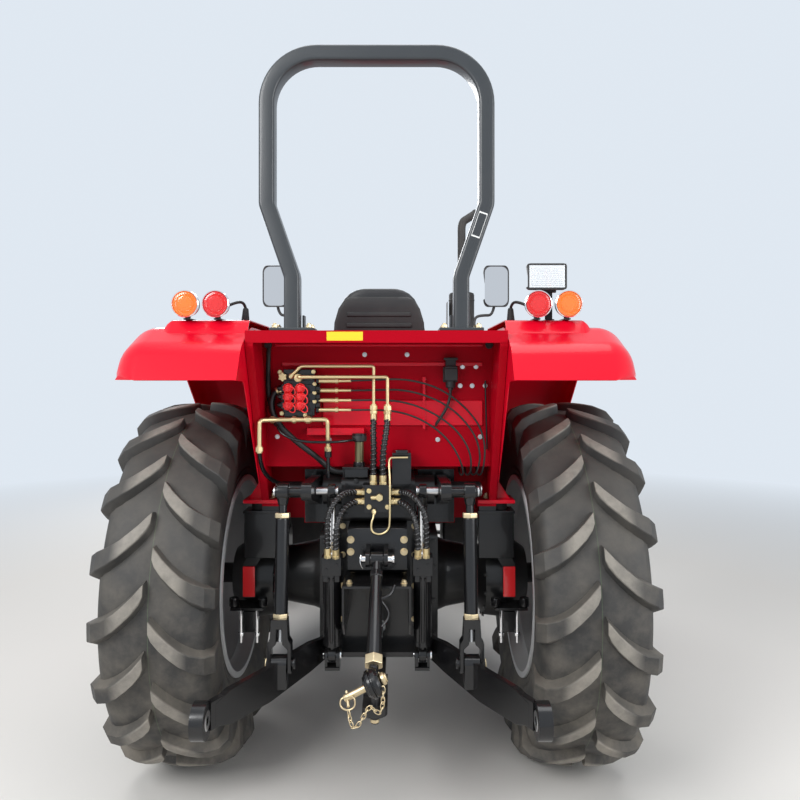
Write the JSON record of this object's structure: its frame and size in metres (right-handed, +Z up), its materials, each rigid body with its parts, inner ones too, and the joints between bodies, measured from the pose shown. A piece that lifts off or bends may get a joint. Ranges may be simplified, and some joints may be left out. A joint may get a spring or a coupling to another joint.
{
  "type": "farm tractor",
  "caption": "Open-platform four-wheel-drive farm tractor with a two-post roll bar, lugged tyres, tilting hood and a three-point linkage lifted by outside cylinders.",
  "frame": {"origin": "on the ground, in the middle of the tractor's length and width", "axes": "+X to the right seen from behind, +Y forward, +Z up"},
  "size_m": [2.07, 4.23, 2.9842],
  "materials": {
    "black_paint": "satin black paint",
    "weight_grey": "dark grey painted casting",
    "radiator_black": "matt black",
    "red_paint": "gloss red paint",
    "bar_grey": "semi-gloss charcoal",
    "seat_metal": "satin black",
    "seat_vinyl": "black vinyl",
    "lever_black": "black",
    "tank_black": "moulded black",
    "exhaust_black": "heat-proof black",
    "lamp_lens": "ribbed lens",
    "lamp_black": "black case",
    "mirror_black": "black housing",
    "valve_metal": "grey casting",
    "zinc_yellow": "yellow zinc plate",
    "hose_rubber": "black hose",
    "cable_black": "black cable",
    "grille_black": "black",
    "lamp_glass": "clear lens",
    "tyre_rubber": "dark grey rubber",
    "rim_silver": "silver grey paint",
    "chrome_rod": "polished",
    "steel_shaft": "bare machined steel",
    "wheel_black": "black"
  },
  "bodies": {
    "chassis": {"engine_block": "black_paint", "transmission": "black_paint", "lift_housing": "black_paint", "front_bracket": "black_paint", "hitch_frame": "black_paint", "axle_mounts": "black_paint", "battery_box": "black_paint", "steps": "black_paint", "drawbar": "black_paint", "front_weights": "weight_grey", "radiator": "radiator_black", "platform": "red_paint", "fender_left": "red_paint", "fender_right": "red_paint", "cowl": "red_paint", "roll_bar": "bar_grey", "seat_frame": "seat_metal", "seat_pads": "seat_vinyl", "levers_and_pedals": "lever_black", "fuel_tank": "tank_black", "exhaust": "exhaust_black", "tail_lamps": "lamp_lens", "work_lamp": "lamp_black", "mirrors": "mirror_black", "remote_valve": "valve_metal", "hydraulic_pipes": "zinc_yellow", "feed_hoses": "hose_rubber", "lift_hoses_left": "hose_rubber", "lift_hoses_right": "hose_rubber", "suction_hose": "hose_rubber", "control_cables": "cable_black"},
    "hood": {"hood": "red_paint", "grille": "grille_black", "headlamps": "lamp_glass"},
    "axle_beam": {"front_axle_beam": "black_paint"},
    "knuckle_left": {"knuckle_left": "black_paint"},
    "wheel_rear_left": {"rear_tyre_left": "tyre_rubber", "rear_rim_left": "rim_silver"},
    "wheel_front_left": {"front_tyre_left": "tyre_rubber", "front_rim_left": "rim_silver"},
    "lift_rod_left": {"lift_rod_left": "black_paint"},
    "lower_link_left": {"lower_link_left": "black_paint"},
    "cylinder_left": {"lift_cylinder_left": "black_paint"},
    "ram_left": {"lift_ram_left": "chrome_rod"},
    "knuckle_right": {"knuckle_right": "black_paint"},
    "wheel_rear_right": {"rear_tyre_right": "tyre_rubber", "rear_rim_right": "rim_silver"},
    "wheel_front_right": {"front_tyre_right": "tyre_rubber", "front_rim_right": "rim_silver"},
    "lift_rod_right": {"lift_rod_right": "black_paint"},
    "lower_link_right": {"lower_link_right": "black_paint"},
    "cylinder_right": {"lift_cylinder_right": "black_paint"},
    "ram_right": {"lift_ram_right": "chrome_rod"},
    "tie_rod": {"tie_rod": "black_paint"},
    "lift_arms": {"lift_arms": "black_paint"},
    "top_link": {"top_link": "black_paint"},
    "pto_shaft": {"pto_shaft": "steel_shaft"},
    "steering_wheel": {"steering_wheel": "wheel_black"}
  },
  "joints": [
    {"name": "rear_wheel_left_spin", "type": "hinge", "parent": "chassis", "child": "wheel_rear_left", "pos_m": [-0.82, -1.005, 0.7925], "axis": [1, 0, 0], "continuous": true},
    {"name": "rear_wheel_right_spin", "type": "hinge", "parent": "chassis", "child": "wheel_rear_right", "pos_m": [0.82, -1.005, 0.7925], "axis": [1, 0, 0], "continuous": true},
    {"name": "front_axle_rock", "type": "hinge", "parent": "chassis", "child": "axle_beam", "pos_m": [0, 1.305, 0.69], "axis": [0, 1, 0], "range_deg": [-8, 8]},
    {"name": "steering", "type": "hinge", "parent": "axle_beam", "child": "knuckle_left", "pos_m": [-0.6, 1.305, 0.58], "axis": [0, 0, 1], "range_deg": [-38, 38]},
    {"name": "steering_right", "type": "hinge", "parent": "axle_beam", "child": "knuckle_right", "pos_m": [0.6, 1.305, 0.58], "axis": [0, 0, 1], "range_deg": [-38, 38]},
    {"name": "tie_rod_ball", "type": "hinge", "parent": "knuckle_left", "child": "tie_rod", "pos_m": [-0.6, 1.135, 0.498], "axis": [0, 0, 1], "range_deg": [-38, 38]},
    {"name": "steering_wheel_turn", "type": "hinge", "parent": "chassis", "child": "steering_wheel", "pos_m": [0, -0.365, 1.76], "axis": [0, -0.7982, 0.6024], "range_deg": [-460, 460]},
    {"name": "front_wheel_left_spin", "type": "hinge", "parent": "knuckle_left", "child": "wheel_front_left", "pos_m": [-0.8, 1.305, 0.58], "axis": [1, 0, 0], "continuous": true},
    {"name": "front_wheel_right_spin", "type": "hinge", "parent": "knuckle_right", "child": "wheel_front_right", "pos_m": [0.8, 1.305, 0.58], "axis": [1, 0, 0], "continuous": true},
    {"name": "hood_lid", "type": "hinge", "parent": "chassis", "child": "hood", "pos_m": [0, 0.096, 1.712], "axis": [1, 0, 0], "range_deg": [0, 50]},
    {"name": "lift", "type": "hinge", "parent": "chassis", "child": "lift_arms", "pos_m": [0, -1.285, 1.225], "axis": [-1, 0, 0], "range_deg": [-28, 28]},
    {"name": "lift_rod_left_pin", "type": "hinge", "parent": "lift_arms", "child": "lift_rod_left", "pos_m": [-0.356, -1.605, 1.27], "axis": [-1, 0, 0], "range_deg": [-28, 28]},
    {"name": "lower_link_left_pin", "type": "hinge", "parent": "chassis", "child": "lower_link_left", "pos_m": [-0.195, -1.36, 0.6], "axis": [-1, 0, 0], "range_deg": [-28, 28]},
    {"name": "cylinder_left_foot", "type": "hinge", "parent": "chassis", "child": "cylinder_left", "pos_m": [-0.18, -1.485, 0.6], "axis": [-1, 0, 0], "range_deg": [-1.67, 1.67], "deforming": ["lift_hoses_left"]},
    {"name": "ram_left_slide", "type": "slide", "parent": "cylinder_left", "child": "ram_left", "axis": [0, -0.0305, 0.9995], "range_m": [-0.1073, 0.1073]},
    {"name": "lift_rod_right_pin", "type": "hinge", "parent": "lift_arms", "child": "lift_rod_right", "pos_m": [0.356, -1.605, 1.27], "axis": [-1, 0, 0], "range_deg": [-28, 28]},
    {"name": "lower_link_right_pin", "type": "hinge", "parent": "chassis", "child": "lower_link_right", "pos_m": [0.195, -1.36, 0.6], "axis": [-1, 0, 0], "range_deg": [-28, 28]},
    {"name": "cylinder_right_foot", "type": "hinge", "parent": "chassis", "child": "cylinder_right", "pos_m": [0.18, -1.485, 0.6], "axis": [-1, 0, 0], "range_deg": [-1.67, 1.67], "deforming": ["lift_hoses_right"]},
    {"name": "ram_right_slide", "type": "slide", "parent": "cylinder_right", "child": "ram_right", "axis": [0, -0.0305, 0.9995], "range_m": [-0.1073, 0.1073]},
    {"name": "top_link_pin", "type": "hinge", "parent": "chassis", "child": "top_link", "pos_m": [0, -1.56, 1], "axis": [-1, 0, 0], "range_deg": [0, 55]},
    {"name": "pto_spin", "type": "hinge", "parent": "chassis", "child": "pto_shaft", "pos_m": [0, -1.405, 0.66], "axis": [0, 1, 0], "continuous": true}
  ],
  "couplings": [
    {"joint": "steering_right", "follows": "steering", "ratio": 1},
    {"joint": "tie_rod_ball", "follows": "steering", "ratio": -1},
    {"joint": "steering_wheel_turn", "follows": "steering", "ratio": 12},
    {"joint": "lift_rod_left_pin", "follows": "lift", "ratio": -1},
    {"joint": "lower_link_left_pin", "follows": "lift", "ratio": 1},
    {"joint": "cylinder_left_foot", "follows": "lift", "ratio": 0.056},
    {"joint": "ram_left_slide", "follows": "lift", "m_per_rad": 0.2175},
    {"joint": "lift_rod_right_pin", "follows": "lift", "ratio": -1},
    {"joint": "lower_link_right_pin", "follows": "lift", "ratio": 1},
    {"joint": "cylinder_right_foot", "follows": "lift", "ratio": 0.056},
    {"joint": "ram_right_slide", "follows": "lift", "m_per_rad": 0.2175}
  ]
}
